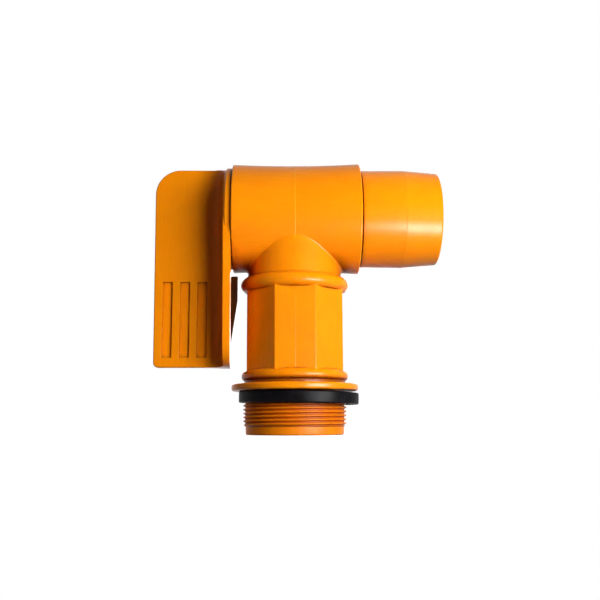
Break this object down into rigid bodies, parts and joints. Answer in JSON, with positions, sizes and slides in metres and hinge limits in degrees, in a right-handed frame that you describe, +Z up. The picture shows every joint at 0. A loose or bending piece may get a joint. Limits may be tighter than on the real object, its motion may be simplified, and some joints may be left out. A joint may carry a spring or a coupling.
{
  "type": "drum tap",
  "caption": "Plastic drum tap with a threaded neck, a rotating spout plug and a flat T-shaped lever handle.",
  "frame": {"origin": "on the thread axis, in the plane of the gasket's underside, where the drum's face lies", "axes": "+Z up the neck, away from the drum; +X along the plug axis towards the spout; +Y the side that the handle swings to when the tap opens"},
  "size_m": [0.1684, 0.0736, 0.161],
  "materials": {
    "orange_polypropylene": "satin gloss, injection moulded",
    "black_rubber": "matte, moulded"
  },
  "bodies": {
    "body": {"tap_body": "orange_polypropylene", "flange_gasket": "black_rubber", "port_seal": "black_rubber"},
    "plug": {"plug_barrel": "orange_polypropylene", "handle": "orange_polypropylene", "spout_end_o_ring": "black_rubber", "handle_end_o_ring": "black_rubber", "hub_o_ring": "black_rubber"}
  },
  "joints": [
    {"name": "handle_turn", "type": "hinge", "parent": "body", "child": "plug", "pos_m": [0, 0, 0.1095], "axis": [1, 0, 0], "range_deg": [0, 90]}
  ]
}
